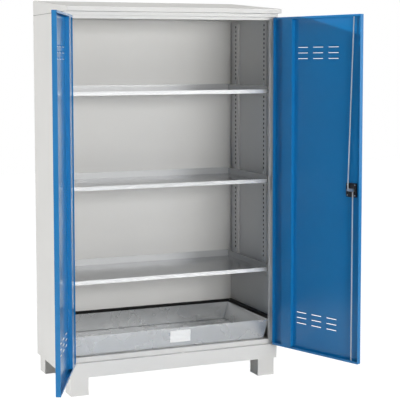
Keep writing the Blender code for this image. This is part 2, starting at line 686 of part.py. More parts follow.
def door_leaf(maker, side):
    """Folded door pan with return lips at the top and the bottom, and pressed louvres."""
    t = DOOR_SHEET
    lip = DOOR_THICKNESS - t
    front = DOOR_THICKNESS + OVERRUN
    leaf = maker.piece(f"{side}_door_leaf", PAINT_BLUE, lambda bm:
                       add_box(bm, (DOOR_SIDE, 0, DOOR_BOTTOM), (DOOR_END, DOOR_THICKNESS, DOOR_TOP)))
    hollow = [(t, DOOR_BOTTOM + t), (lip, DOOR_BOTTOM + t), (lip, DOOR_BOTTOM + DOOR_LIP),
              (front, DOOR_BOTTOM + DOOR_LIP), (front, DOOR_TOP - DOOR_LIP), (lip, DOOR_TOP - DOOR_LIP),
              (lip, DOOR_TOP - t), (t, DOOR_TOP - t)]
    maker.cut(leaf, lambda bm: add_prism(bm, hollow, "X", DOOR_SIDE + t, DOOR_END - t))
    half = LOUVRE_HEIGHT / 2
    bite = DOOR_SHEET / 2

    def hoods(bm):
        for x, z in louvre_places():
            edge = z - half + LOUVRE_OPEN
            outline = [(bite, z + half + DOOR_SHEET), (-LOUVRE_DEPTH, edge), (bite, edge)]
            add_prism(bm, outline, "X", x, x + LOUVRE_LENGTH)
    maker.join(leaf, hoods)

    def mouths(bm):
        for x, z in louvre_places():
            edge = z - half + LOUVRE_OPEN
            mouth = -LOUVRE_DEPTH + 2 * DOOR_SHEET
            outline = [(DOOR_SHEET + OVERRUN, z + half), (0, z + half), (mouth, edge), (mouth, z - half),
                       (DOOR_SHEET + OVERRUN, z - half)]
            add_prism(bm, outline, "X", x + DOOR_SHEET, x + LOUVRE_LENGTH - DOOR_SHEET)
    maker.cut(leaf, mouths)
    return leaf


def door_stiffener(maker, side):
    """Hat section behind the skin, as deep as the door."""
    t = DOOR_SHEET
    near = DOOR_SIDE + STIFFENER_START
    far = near + STIFFENER_WIDTH
    skin = DOOR_SHEET + GAP
    crown = DOOR_THICKNESS - t
    path = [(near - STIFFENER_FLANGE, skin), (near + t, skin), (near + t, crown), (far - t, crown),
            (far - t, skin), (far + STIFFENER_FLANGE, skin)]
    maker.piece(f"{side}_door_stiffener", PAINT_BLUE, lambda bm:
                add_prism(bm, folded(path, t), "Z", DOOR_BOTTOM + DOOR_LIP + GAP, DOOR_TOP - DOOR_LIP - GAP))


def hinge(frame_maker, door_maker, side, level, z):
    """A barrel hinge: outer knuckles with the pin on the side panel, the middle knuckle on the door."""
    half = HINGE_LENGTH / 2
    inner = half / KNUCKLES
    axis = (HINGE_X, HINGE_Y)
    frame_x = FRONT_STRIP + GAP
    door_x = DOOR_SIDE - GAP - HINGE_LEAF
    notch = GAP + KNUCKLE_GAP
    leaf_outline = [(HINGE_Y, z - half), (HINGE_LEAF_DEPTH, z - half), (HINGE_LEAF_DEPTH, z + half),
                    (HINGE_Y, z + half), (HINGE_Y, z + inner), (notch, z + inner), (notch, z - inner),
                    (HINGE_Y, z - inner)]
    frame_half = frame_maker.piece(f"{side}_{level}_hinge_frame_half", PAINT_GREY, lambda bm:
                                   add_prism(bm, leaf_outline, "X", frame_x, frame_x + HINGE_LEAF))
    knuckle = circle(axis, KNUCKLE_RADIUS, ROUND_SIDES)
    for low, high in ((z - half, z - inner), (z + inner, z + half)):
        frame_maker.join(frame_half, lambda bm, low=low, high=high: add_prism(bm, knuckle, "Z", low, high))
    frame_maker.join(frame_half, lambda bm: add_prism(bm, circle(axis, HINGE_PIN_RADIUS, SMALL_SIDES), "Z",
                                                      z - inner - KNUCKLE_RADIUS, z + inner + KNUCKLE_RADIUS))
    low = z - inner + KNUCKLE_GAP
    high = z + inner - KNUCKLE_GAP
    door_half = door_maker.piece(f"{side}_{level}_hinge_door_half", PAINT_BLUE, lambda bm:
                                 add_box(bm, (door_x, HINGE_Y, low),
                                         (door_x + HINGE_LEAF, HINGE_LEAF_DEPTH, high)))
    door_maker.join(door_half, lambda bm: add_prism(bm, knuckle, "Z", low, high))
    bore = circle(axis, HINGE_PIN_RADIUS + HINGE_PIN_CLEARANCE, SMALL_SIDES)
    door_maker.cut(door_half, lambda bm: add_prism(bm, bore, "Z", low - OVERRUN, high + OVERRUN))


def rod_guides(maker, leaf):
    """Slots in the pan's top and bottom walls for the rod ends, and the guide blocks beside them."""
    half = GUIDE_SLOT_WIDTH / 2
    deep = GUIDE_SLOT_DEPTH / 2
    t = DOOR_SHEET
    x = GUIDE_X
    for name, low in (("upper_rod_guide", DOOR_TOP - t - GAP - GUIDE_THICKNESS),
                      ("lower_rod_guide", DOOR_BOTTOM + t + GAP)):
        def slot(bm, low=low):
            add_box(bm, (x - half, ROD_Y - deep, low - OVERRUN),
                    (x + half, ROD_Y + deep, low + GUIDE_THICKNESS + OVERRUN))
        maker.cut(leaf, slot)
        block = maker.piece(name, BLACK, lambda bm, low=low:
                            add_box(bm, (x - GUIDE_WIDTH / 2, ROD_Y - GUIDE_DEPTH / 2, low),
                                    (x + GUIDE_WIDTH / 2, ROD_Y + GUIDE_DEPTH / 2, low + GUIDE_THICKNESS)))
        maker.cut(block, slot)


def spindle_hole(maker, target, low, high):
    """A round hole for the lock's spindle."""
    radius = SPINDLE_SIDE / math.sqrt(2) + SPINDLE_CLEARANCE
    maker.cut(target, lambda bm: add_prism(bm, circle((LOCK_X, LOCK_Z), radius, ROUND_SIDES), "Y", low, high))


def lock_housing(maker, leaf):
    """Black housing on the inside of the door, and the rose under the handle outside."""
    outline = rounded((LOCK_X, LOCK_Z), HOUSING_WIDTH, HOUSING_HEIGHT, HOUSING_CORNER)
    housing = maker.piece("lock_housing", BLACK,
                          lambda bm: add_prism(bm, outline, "Y", HOUSING_BACK, HOUSING_FRONT))
    spindle_hole(maker, housing, HOUSING_BACK - OVERRUN, HOUSING_FRONT + OVERRUN)
    spindle_hole(maker, leaf, -OVERRUN, DOOR_SHEET + OVERRUN)
    rose = maker.piece("handle_rose", BLACK, lambda bm:
                       add_prism(bm, circle((LOCK_X, LOCK_Z), ROSE_RADIUS, 2 * ROUND_SIDES), "Y",
                                 -GAP - ROSE_THICKNESS, -GAP), smooth=True)
    spindle_hole(maker, rose, -GAP - ROSE_THICKNESS - OVERRUN, OVERRUN)


def handle_parts(maker):
    """What turns with the handle: wing grip with hub, square spindle and cam with its two pins."""
    hub_back = -GAP - ROSE_THICKNESS - GAP
    hub_front = hub_back - HUB_LENGTH
    grip_front = hub_front + CYLINDER_PROUD / 2
    grip_back = hub_front + GRIP_THICKNESS
    hub = circle((LOCK_X, LOCK_Z), HUB_RADIUS, ROUND_SIDES)
    handle = maker.piece("handle", BLACK, lambda bm: add_prism(bm, hub, "Y", hub_front, hub_back))
    reach = (GRIP_LENGTH - GRIP_WIDTH) / 2
    grip = capsule((LOCK_X - reach, LOCK_Z), (LOCK_X + reach, LOCK_Z), GRIP_WIDTH / 2, ROUND_SIDES)
    maker.join(handle, lambda bm: add_prism(bm, grip, "Y", grip_front, grip_back))
    bore = CYLINDER_RADIUS + CYLINDER_CLEARANCE
    maker.cut(handle, lambda bm: add_prism(bm, circle((LOCK_X, LOCK_Z), bore, ROUND_SIDES), "Y",
                                           hub_front - OVERRUN, hub_front + CYLINDER_DEPTH))
    side = SPINDLE_SIDE / 2
    socket = side + GAP
    socket_end = hub_front + CYLINDER_DEPTH + HUB_WEB
    maker.cut(handle, lambda bm: add_box(bm, (LOCK_X - socket, socket_end, LOCK_Z - socket),
                                         (LOCK_X + socket, hub_back + OVERRUN, LOCK_Z + socket)))
    cam_back = CAM_FRONT - CAM_THICKNESS
    maker.piece("lock_spindle", BRIGHT, lambda bm:
                add_box(bm, (LOCK_X - side, socket_end + GAP, LOCK_Z - side),
                        (LOCK_X + side, CAM_FRONT, LOCK_Z + side)))
    left_pin = (LOCK_X - CAM_RADIUS, LOCK_Z)
    right_pin = (LOCK_X + CAM_RADIUS, LOCK_Z)
    bar = capsule(left_pin, right_pin, CAM_EAR, ROUND_SIDES)
    cam = maker.piece("lock_cam", BRIGHT, lambda bm: add_prism(bm, bar, "Y", cam_back, CAM_FRONT))
    maker.cut(cam, lambda bm: add_box(bm, (LOCK_X - socket, cam_back - OVERRUN, LOCK_Z - socket),
                                      (LOCK_X + socket, CAM_FRONT + OVERRUN, LOCK_Z + socket)))

    def pins(bm):
        for pin in (left_pin, right_pin):
            add_prism(bm, circle(pin, CAM_PIN_RADIUS, SMALL_SIDES), "Y", CAM_FRONT - CAM_THICKNESS / 2,
                      ROD_Y + ROD_EYE_THICKNESS / 2 + GAP)
    maker.join(cam, pins)


def lock_cylinder(maker):
    """The key cylinder's plug in the handle's hub."""
    hub_front = -GAP - ROSE_THICKNESS - GAP - HUB_LENGTH
    back = hub_front + CYLINDER_DEPTH - GAP
    front = hub_front - CYLINDER_PROUD
    outline = circle((LOCK_X, LOCK_Z), CYLINDER_RADIUS, ROUND_SIDES)
    plug = maker.piece("lock_cylinder", BRIGHT,
                       lambda bm: add_prism(bm, outline, "Y", front, back), smooth=True)
    wide = KEYWAY_WIDTH / 2
    high = KEYWAY_HEIGHT / 2
    maker.cut(plug, lambda bm: add_box(bm, (LOCK_X - wide, front - OVERRUN, LOCK_Z - high),
                                       (LOCK_X + wide, front + KEYWAY_DEPTH, LOCK_Z + high)))


def rod(maker, name, end_z):
    """A round rod with a flat eye on the cam's pin. It is drawn upright, and its object then leans it."""
    pin = maker.pivot
    toward = 1 if end_z > pin.z else -1
    start = pin.z + toward * ROD_EYE_RADIUS / 2
    made = maker.piece(name, BRIGHT, lambda bm:
                       add_prism(bm, circle((pin.x, pin.y), ROD_RADIUS, SMALL_SIDES), "Z", start, end_z),
                       smooth=True)
    thin = ROD_EYE_THICKNESS / 2
    maker.join(made, lambda bm: add_prism(bm, circle((pin.x, pin.z), ROD_EYE_RADIUS, ROUND_SIDES), "Y",
                                          pin.y - thin, pin.y + thin))
    bore = CAM_PIN_RADIUS + ROD_EYE_CLEARANCE
    clear = ROD_EYE_RADIUS
    for low, high in ((pin.y + thin, pin.y + clear), (pin.y - clear, pin.y - thin)):
        maker.cut(made, lambda bm, low=low, high=high:
                  add_box(bm, (pin.x - clear, low, pin.z - clear), (pin.x + clear, high, pin.z + clear)))
    maker.cut(made, lambda bm: add_prism(bm, circle((pin.x, pin.z), bore, SMALL_SIDES), "Y",
                                         pin.y - clear, pin.y + clear))


def rods(handle_empty):
    """Upper and lower rod, each turning on one of the cam's pins and leaning to its guide."""
    top = DOOR_TOP - ROD_END_GAP
    bottom = DOOR_BOTTOM + ROD_END_GAP
    for name, pin_x, end_z in (("upper_rod", LOCK_X - CAM_RADIUS, top),
                               ("lower_rod", LOCK_X + CAM_RADIUS, bottom)):
        pin = Vector((pin_x, ROD_Y, LOCK_Z))
        offset = Vector((-(pin_x - LOCK_X), ROD_Y, 0))
        holder = empty(f"{name}_axis", handle_empty, offset)
        lean = math.atan2(GUIDE_X - pin_x, abs(end_z - LOCK_Z))
        toward = 1 if end_z > LOCK_Z else -1
        holder.rotation_euler = (0, -toward * lean, 0)
        rod(Maker(holder, pin, mirrored=True), name, end_z)


def build_cabinet():
    clear_scene()
    root = empty("cabinet", None, ROOT)
    whole = Maker(root)
    left_half = half_maker(root, "left")
    right_half = half_maker(root, "right")
    for side, maker in (("left", left_half), ("right", right_half)):
        side_panel(maker, side)
        rails(maker, side)
    back_panel(whole)
    floor_panel(whole)
    top_panel(whole)
    header(whole)
    plinth(whole)
    roof(whole)
    feet(whole)
    for level, lip_top in SHELF_LIP_TOPS.items():
        shelf(whole, level, lip_top)
        shelf_clips(left_half, "left", level, lip_top)
        shelf_clips(right_half, "right", level, lip_top)
    sump(whole)
    sump_seal(whole)
    sump_plate(whole)

    left_axis = empty("left_door_axis", root, HINGE_AXIS, -LEFT_OPENING)
    left_door = Maker(left_axis, HINGE_AXIS)
    right_axis = empty("right_door_axis", root, Vector((WIDTH - HINGE_X, HINGE_Y, 0)), RIGHT_OPENING)
    right_door = Maker(right_axis, HINGE_AXIS, mirrored=True)
    leaves = {}
    for side, frame_maker, door_maker in (("left", left_half, left_door), ("right", right_half, right_door)):
        leaves[side] = door_leaf(door_maker, side)
        door_stiffener(door_maker, side)
        for level, z in HINGE_HEIGHTS.items():
            hinge(frame_maker, door_maker, side, level, z)
    rod_guides(right_door, leaves["right"])
    lock_housing(right_door, leaves["right"])

    handle_place = LOCK_AXIS - HINGE_AXIS
    handle_axis = empty("handle_axis", right_axis, Vector((-handle_place.x, handle_place.y, handle_place.z)))
    handle_parts(Maker(handle_axis, LOCK_AXIS, mirrored=True))
    cylinder_axis = empty("cylinder_axis", handle_axis, (0, 0, 0))
    lock_cylinder(Maker(cylinder_axis, LOCK_AXIS, mirrored=True))
    rods(handle_axis)


build_cabinet()
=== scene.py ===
# %% [markdown]
# A steel cabinet for dangerous goods stands open: a light grey folded-sheet body, two blue wing doors,
# three galvanised shelves and a sump tray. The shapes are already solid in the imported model, so this
# lesson gives them a camera, light and finishes, and adds the small things that such a cabinet carries.

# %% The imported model
import json
import math

import bpy
from mathutils import Matrix, Vector


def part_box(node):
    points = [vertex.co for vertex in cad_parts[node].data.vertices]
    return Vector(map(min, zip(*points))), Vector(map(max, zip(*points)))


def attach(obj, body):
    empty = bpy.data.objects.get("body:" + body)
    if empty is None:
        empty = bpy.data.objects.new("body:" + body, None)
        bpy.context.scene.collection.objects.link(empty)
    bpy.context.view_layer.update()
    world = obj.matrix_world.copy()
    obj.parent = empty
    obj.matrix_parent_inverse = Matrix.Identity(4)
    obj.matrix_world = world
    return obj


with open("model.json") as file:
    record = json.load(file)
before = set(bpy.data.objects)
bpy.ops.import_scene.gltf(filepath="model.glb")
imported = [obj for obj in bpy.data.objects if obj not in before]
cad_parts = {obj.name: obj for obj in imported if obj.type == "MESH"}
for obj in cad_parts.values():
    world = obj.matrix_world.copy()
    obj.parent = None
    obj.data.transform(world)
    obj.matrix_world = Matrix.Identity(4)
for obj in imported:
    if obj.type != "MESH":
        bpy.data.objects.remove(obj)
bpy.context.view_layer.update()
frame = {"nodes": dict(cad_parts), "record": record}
MM = 0.001

# %% [markdown]
# The photograph is taken from the left, from about eye height, with a long lens. The lens, place and
# turns below were worked out from straight edges of the cabinet. They fit best with the lens shifted
# by a tenth of the frame each way, as if the picture were part of a wider shot.

# %% Camera
# The body's left side, front plane and floor meet here in the model's own frame
BODY_CORNER = Vector((-0.064, -0.055, 0))
CAMERA_FROM_CORNER = Vector((-1.7303, -5.6997, 1.7425))
YAW = math.radians(21.4524)
PITCH = math.radians(4.6568)
ROLL = math.radians(-0.2403)
LENS = 104.0
SHIFT = 0.105

forward = Vector((math.sin(YAW) * math.cos(PITCH), math.cos(YAW) * math.cos(PITCH), -math.sin(PITCH)))
level_right = Vector((math.cos(YAW), -math.sin(YAW), 0))
level_up = level_right.cross(forward)
right = level_right * math.cos(ROLL) + level_up * math.sin(ROLL)
up = level_up * math.cos(ROLL) - level_right * math.sin(ROLL)
camera_data = bpy.data.cameras.new("photo_camera")
camera = bpy.data.objects.new("photo_camera", camera_data)
bpy.context.scene.collection.objects.link(camera)
turn = Matrix((right, up, -forward)).transposed().to_4x4()
camera.matrix_world = Matrix.Translation(BODY_CORNER + CAMERA_FROM_CORNER) @ turn
camera_data.lens = LENS
camera_data.shift_x = SHIFT
camera_data.shift_y = -SHIFT
camera_data.dof.use_dof = False
bpy.context.scene.camera = camera
bpy.context.scene.view_settings.view_transform = "Standard"
print("camera at", tuple(round(v, 3) for v in camera.matrix_world.translation))

# %% [markdown]
# A material here is a small tree of nodes. Colours are written the way a paint chart gives them, as sRGB
# hex values, and one function turns them to the linear numbers that Blender calculates with. Another
# adds a node, with its settings and what feeds it, so that each finish reads from top to bottom.

# %% Helpers for finishes
# The curve of the sRGB standard: straight up to its knee, and a power beyond
FULL_CHANNEL = 255
KNEE = 0.04045
KNEE_SLOPE = 12.92
CURVE_OFFSET = 0.055
CURVE_POWER = 2.4


def linear(hex_colour):
    """An sRGB hex colour as linear RGBA."""
    parts = [channel / FULL_CHANNEL for channel in bytes.fromhex(hex_colour[1:])]
    return [p / KNEE_SLOPE if p <= KNEE else ((p + CURVE_OFFSET) / (1 + CURVE_OFFSET)) ** CURVE_POWER
            for p in parts] + [1]


def add(tree, kind, settings=None, **inputs):
    """A node with its settings. An input is a value or the socket that feeds it, and _0 is the first one."""
    made = tree.nodes.new(kind)
    for name, value in (settings or {}).items():
        setattr(made, name, value)
    for name, value in inputs.items():
        socket = made.inputs[int(name[1:]) if name[0] == "_" else name.replace("_", " ")]
        if isinstance(value, bpy.types.NodeSocket):
            tree.links.new(value, socket)
        else:
            socket.default_value = value
    return made


def finish_of(name, roughness, metallic=0.0):
    """A new material, with its tree, its shader and its object coordinates."""
    made = bpy.data.materials.new(name)
    made.use_nodes = True
    tree = made.node_tree
    shader = tree.nodes["Principled BSDF"]
    shader.inputs["Metallic"].default_value = metallic
    shader.inputs["Roughness"].default_value = roughness
    place = add(tree, "ShaderNodeTexCoord").outputs["Object"]
    return made, tree, shader, place


COLOUR = {"data_type": "RGBA"}
NUMBER = {"data_type": "FLOAT"}

# %% [markdown]
# The body is steel sheet with a light grey powder coat. The powder melts in an oven and levels almost
# flat. It leaves a soft gloss and a faint orange peel of about 2 mm, drawn at 4 mm so that it shows from
# here. The coat is never quite even, so shade and gloss drift slowly over the panels.

# %% Powder coat
ORANGE_PEEL = 4 * MM
CLOUD = 350 * MM
PEEL_HEIGHT = 0.2 * MM
PEEL_STRENGTH = 0.05
COAT_ROUGHNESS = 0.12
CLOUD_DETAIL = 2.0
PEEL_DETAIL = 1.0
GREY_SHADES = ("#D2D1CE", "#D9D8D5")
GREY_ROUGHNESS = (0.38, 0.46)
GREY_COAT_SHARE = 0.0


def powder_coat(name, shades, roughness, coat_share):
    """Powder coat with orange peel and a slow drift in shade and gloss."""
    made, tree, shader, place = finish_of(name, roughness[0])
    drift = add(tree, "ShaderNodeTexNoise", None, Vector=place, Scale=1 / CLOUD,
                Detail=CLOUD_DETAIL).outputs["Fac"]
    peel = add(tree, "ShaderNodeTexNoise", None, Vector=place, Scale=1 / ORANGE_PEEL,
               Detail=PEEL_DETAIL).outputs["Fac"]
    shade = add(tree, "ShaderNodeMix", COLOUR, _0=drift, _6=linear(shades[0]),
                _7=linear(shades[1])).outputs[2]
    gloss = add(tree, "ShaderNodeMapRange", None, Value=drift, To_Min=roughness[0], To_Max=roughness[1])
    bump = add(tree, "ShaderNodeBump", None, Height=peel, Strength=PEEL_STRENGTH, Distance=PEEL_HEIGHT)
    tree.links.new(shade, shader.inputs["Base Color"])
    tree.links.new(gloss.outputs["Result"], shader.inputs["Roughness"])
    tree.links.new(bump.outputs["Normal"], shader.inputs["Normal"])
    shader.inputs["Coat Weight"].default_value = coat_share
    shader.inputs["Coat Roughness"].default_value = COAT_ROUGHNESS
    return made


grey_paint = powder_coat("light_grey_powder_coat", GREY_SHADES, GREY_ROUGHNESS, GREY_COAT_SHARE)
print("grey:", grey_paint.name)

# %% [markdown]
# The perforated rails are welded on before coating. The hollow behind their slots lies in shade, and
# that shade is painted: the finish colours the hollow dark grey, so the slots read as dark spots. The
# finish knows the hollow by its place: how far a point is from the middle plane, how far from the
# middle of a rail, and how high it is.

# %% Painted shade in the rails' hollows
# Painted shade: the dark grey given to the hollows behind the rails' slots
PAINTED_HOLLOW_SHADE = "#2B2B2B"
rear_low, rear_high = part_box("rear_right_rail")
front_low, front_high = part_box("front_right_rail")
panel_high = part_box("right_side_panel")[1]
middle_x = (panel_high[0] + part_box("left_side_panel")[0][0]) / 2
RAIL_SHEET = 1.2 * MM
WALL_SHEET = 1.2 * MM
hollow_from = rear_low[0] + RAIL_SHEET / 2 - middle_x
hollow_to = panel_high[0] - WALL_SHEET / 2 - middle_x
inside_width = (rear_high[1] - rear_low[1] - RAIL_SHEET) / 2
tree = grey_paint.node_tree
shader = tree.nodes["Principled BSDF"]
place = add(tree, "ShaderNodeTexCoord").outputs["Object"]
along_x, along_y, along_z = add(tree, "ShaderNodeSeparateXYZ", None, Vector=place).outputs
from_middle = add(tree, "ShaderNodeMath", {"operation": "SUBTRACT"}, _0=along_x, _1=middle_x).outputs[0]
sideways = add(tree, "ShaderNodeMath", {"operation": "ABSOLUTE"}, _0=from_middle).outputs[0]
deep = add(tree, "ShaderNodeMath", {"operation": "COMPARE"}, _0=sideways, _1=(hollow_from + hollow_to) / 2,
           _2=(hollow_to - hollow_from) / 2).outputs[0]
by_rear = add(tree, "ShaderNodeMath", {"operation": "COMPARE"}, _0=along_y,
              _1=(rear_low[1] + rear_high[1]) / 2, _2=inside_width).outputs[0]
by_front = add(tree, "ShaderNodeMath", {"operation": "COMPARE"}, _0=along_y,
               _1=(front_low[1] + front_high[1]) / 2, _2=inside_width).outputs[0]
in_height = add(tree, "ShaderNodeMath", {"operation": "COMPARE"}, _0=along_z,
                _1=(rear_low[2] + rear_high[2]) / 2, _2=(rear_high[2] - rear_low[2]) / 2).outputs[0]
by_rail = add(tree, "ShaderNodeMath", {"operation": "MAXIMUM"}, _0=by_rear, _1=by_front).outputs[0]
behind = add(tree, "ShaderNodeMath", {"operation": "MULTIPLY"}, _0=deep, _1=by_rail).outputs[0]
hollow = add(tree, "ShaderNodeMath", {"operation": "MULTIPLY"}, _0=behind, _1=in_height).outputs[0]
painted = shader.inputs["Base Color"].links[0].from_socket
shade = add(tree, "ShaderNodeMix", COLOUR, _0=hollow, _6=painted, _7=linear(PAINTED_HOLLOW_SHADE)).outputs[2]
tree.links.new(shade, shader.inputs["Base Color"])
print("hollow from", round(hollow_from, 4), "to", round(hollow_to, 4), "m off the middle")

# %% [markdown]
# The doors have the same kind of coat in blue, but glossier: at a grazing angle the left one mirrors the
# shelves. A thin clear layer over the colour gives that sharper reflection.

# %% Blue powder coat
BLUE_SHADES = ("#0A70AC", "#1077B3")
BLUE_ROUGHNESS = (0.26, 0.32)
BLUE_COAT_SHARE = 0.6
blue_paint = powder_coat("blue_powder_coat", BLUE_SHADES, BLUE_ROUGHNESS, BLUE_COAT_SHARE)
print("blue:", blue_paint.name)

# %% [markdown]
# Shelves and sump are hot-dip galvanised sheet. Zinc crystals give flat flakes of slightly different
# grey, the spangle, about 12 mm across, and rolling leaves faint streaks along the sheet. Galvanising
# reflects like a dull mirror, so most of its look comes from what stands around it. The finish reads
# which way a face points and paints light and shade by it: on the shelves the lips in front and behind
# get a painted highlight and the floor and the ends a painted shade, and in the sump it is the other
# way round, with painted light on the floor and the ends. In air, zinc grows a thin white skin that
# scatters light, so the finish is only partly metal. The flakes change only the colour: when they
# changed the gloss as well, the sump looked sprinkled with dark specks.

# %% Galvanised sheet
SPANGLE = 12 * MM
ROLL_STREAK = 6 * MM
BLOOM = 120 * MM
STREAK_STRETCH = 0.02
SPANGLE_SHARE = 0.3
BLOOM_SHARE = 0.5
ZINC_RELIEF = 0.3 * MM
ZINC_RELIEF_STRENGTH = 0.3
LIP_FROM = 0.5
LIP_TO = 0.9
STREAK_DETAIL = 3.0
BLOOM_DETAIL = 2.0
# Painted light and shade: shelf lips lit, shelf floors shaded; sump lips shaded, sump floors lit
SHELF_LIT_LIPS = ("#E4E5E5", "#F0F0F0")
SHELF_SHADED_FLOORS = ("#A2A4A6", "#ACAEB0")
SHELF_ROUGHNESS = (0.18, 0.24)
SHELF_BARE_SHARE = 0.6
SUMP_SHADED_LIPS = ("#CFD1D2", "#DCDDDD")
SUMP_LIT_FLOORS = ("#E2E3E3", "#EDEDED")
SUMP_ROUGHNESS = (0.24, 0.30)
SUMP_BARE_SHARE = 0.75


def galvanised_sheet(name, lips, floors, roughness, bare_share):
    """Zinc spangle over streaks along X, with painted light and shade by facing. Lips, and floors with ends,
    each have a dark and a light shade.
    """
    made, tree, shader, place = finish_of(name, roughness[0], bare_share)
    flakes = add(tree, "ShaderNodeTexVoronoi", None, Vector=place, Scale=1 / SPANGLE).outputs["Color"]
    flake = add(tree, "ShaderNodeSeparateColor", None, Color=flakes).outputs["Red"]
    stretched = (STREAK_STRETCH, 1, 1)
    along = add(tree, "ShaderNodeMapping", None, Vector=place, Scale=stretched).outputs["Vector"]
    streak = add(tree, "ShaderNodeTexNoise", None, Vector=along, Scale=1 / ROLL_STREAK, Detail=STREAK_DETAIL)
    bloom = add(tree, "ShaderNodeTexNoise", None, Vector=place, Scale=1 / BLOOM,
                Detail=BLOOM_DETAIL).outputs["Fac"]
    grain = add(tree, "ShaderNodeMix", NUMBER, _0=SPANGLE_SHARE, _2=streak.outputs["Fac"],
                _3=flake).outputs[0]
    both = add(tree, "ShaderNodeMix", NUMBER, _0=BLOOM_SHARE, _2=grain, _3=bloom).outputs[0]
    # Painted light and shade: faces that point forward or back take the lip shades, the rest the floor
    # shades
    facing = add(tree, "ShaderNodeNewGeometry").outputs["Normal"]
    forward_part = add(tree, "ShaderNodeSeparateXYZ", None, Vector=facing).outputs["Y"]
    frontal = add(tree, "ShaderNodeMath", {"operation": "ABSOLUTE"}, _0=forward_part).outputs[0]
    facing_light_mask = add(tree, "ShaderNodeMapRange", None, Value=frontal, From_Min=LIP_FROM, From_Max=LIP_TO)
    upright = add(tree, "ShaderNodeMix", COLOUR, _0=both, _6=linear(lips[0]),
                  _7=linear(lips[1])).outputs[2]
    level = add(tree, "ShaderNodeMix", COLOUR, _0=both, _6=linear(floors[0]),
                _7=linear(floors[1])).outputs[2]
    shade = add(tree, "ShaderNodeMix", COLOUR, _0=facing_light_mask.outputs["Result"], _6=level, _7=upright).outputs[2]
    gloss = add(tree, "ShaderNodeMapRange", None, Value=bloom, To_Min=roughness[0], To_Max=roughness[1])
    bump = add(tree, "ShaderNodeBump", None, Height=bloom, Strength=ZINC_RELIEF_STRENGTH,
               Distance=ZINC_RELIEF)
    tree.links.new(shade, shader.inputs["Base Color"])
    tree.links.new(gloss.outputs["Result"], shader.inputs["Roughness"])
    tree.links.new(bump.outputs["Normal"], shader.inputs["Normal"])
    return made


shelf_zinc = galvanised_sheet("galvanised_shelf_sheet", SHELF_LIT_LIPS, SHELF_SHADED_FLOORS, SHELF_ROUGHNESS,
                              SHELF_BARE_SHARE)
sump_zinc = galvanised_sheet("galvanised_sump_sheet", SUMP_SHADED_LIPS, SUMP_LIT_FLOORS, SUMP_ROUGHNESS,
                             SUMP_BARE_SHARE)
print("zinc:", shelf_zinc.name, sump_zinc.name)

# %% [markdown]
# Clips, rods, cam, spindle and key cylinder are zinc plated. This zinc comes out of a bath of salts and
# never melts, so it has a fine even grain in place of flakes. It is a little bluer than galvanised
# sheet, and all metal.

# %% Zinc plating
PLATING_GRAIN = 1.5 * MM
PLATING_DETAIL = 2.0
PLATING_SHADES = ("#DCDEE0", "#F0F1F2")
PLATING_ROUGHNESS = (0.26, 0.42)
ALL_METAL = 1.0


def plated_steel(name, shades, roughness):
    """Bare or plated bright metal with a fine grain."""
    made, tree, shader, place = finish_of(name, roughness[0], ALL_METAL)
    grain = add(tree, "ShaderNodeTexNoise", None, Vector=place, Scale=1 / PLATING_GRAIN,
                Detail=PLATING_DETAIL).outputs["Fac"]
    shade = add(tree, "ShaderNodeMix", COLOUR, _0=grain, _6=linear(shades[0]),
                _7=linear(shades[1])).outputs[2]
    gloss = add(tree, "ShaderNodeMapRange", None, Value=grain, To_Min=roughness[0], To_Max=roughness[1])
    tree.links.new(shade, shader.inputs["Base Color"])
    tree.links.new(gloss.outputs["Result"], shader.inputs["Roughness"])
    return made


plated = plated_steel("bright_zinc_plating", PLATING_SHADES, PLATING_ROUGHNESS)
print("plating:", plated.name)

# %% [markdown]
# The lock housing, handle, rose and rod guides are glass-filled polyamide, moulded in black with a fine
# spark-eroded texture. The sump's seal is black foam rubber with open cells at its cut faces. The bare
# plate on the sump is white vinyl.

# %% Black polyamide, foam rubber and white plate
GRAIN_DETAIL = 3.0
GRAIN_STRENGTH = 0.3
MOULD_TEXTURE = 0.8 * MM
MOULD_DEPTH = 0.05 * MM
POLYAMIDE_SHADES = ("#161616", "#242425")
POLYAMIDE_ROUGHNESS = (0.45, 0.60)
FOAM_CELL = 2 * MM
FOAM_DEPTH = 0.4 * MM
FOAM_SHADES = ("#101010", "#222222")
FOAM_ROUGHNESS = (0.80, 0.95)
VINYL_GRAIN = 4 * MM
VINYL_DEPTH = 0.02 * MM
VINYL_SHADES = ("#E4E4E2", "#ECECEA")
VINYL_ROUGHNESS = (0.35, 0.45)


def grained(name, shades, roughness, grain_size, depth):
    """A non-metal with an even grain that shows in colour, gloss and relief."""
    made, tree, shader, place = finish_of(name, roughness[0])
    grain = add(tree, "ShaderNodeTexNoise", None, Vector=place, Scale=1 / grain_size,
                Detail=GRAIN_DETAIL).outputs["Fac"]
    shade = add(tree, "ShaderNodeMix", COLOUR, _0=grain, _6=linear(shades[0]),
                _7=linear(shades[1])).outputs[2]
    gloss = add(tree, "ShaderNodeMapRange", None, Value=grain, To_Min=roughness[0], To_Max=roughness[1])
    bump = add(tree, "ShaderNodeBump", None, Height=grain, Strength=GRAIN_STRENGTH, Distance=depth)
    tree.links.new(shade, shader.inputs["Base Color"])
    tree.links.new(gloss.outputs["Result"], shader.inputs["Roughness"])
    tree.links.new(bump.outputs["Normal"], shader.inputs["Normal"])
    return made


polyamide = grained("black_glass_filled_polyamide", POLYAMIDE_SHADES, POLYAMIDE_ROUGHNESS, MOULD_TEXTURE,
                    MOULD_DEPTH)
foam = grained("black_foam_rubber", FOAM_SHADES, FOAM_ROUGHNESS, FOAM_CELL, FOAM_DEPTH)
plate_vinyl = grained("white_vinyl_plate", VINYL_SHADES, VINYL_ROUGHNESS, VINYL_GRAIN, VINYL_DEPTH)
print("black:", polyamide.name, foam.name)

# %% [markdown]
# Every solid of the model now gets its real finish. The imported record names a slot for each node, so one
# table from slot to finish covers the cabinet, and only the sump's own sheet differs from the shelves'.

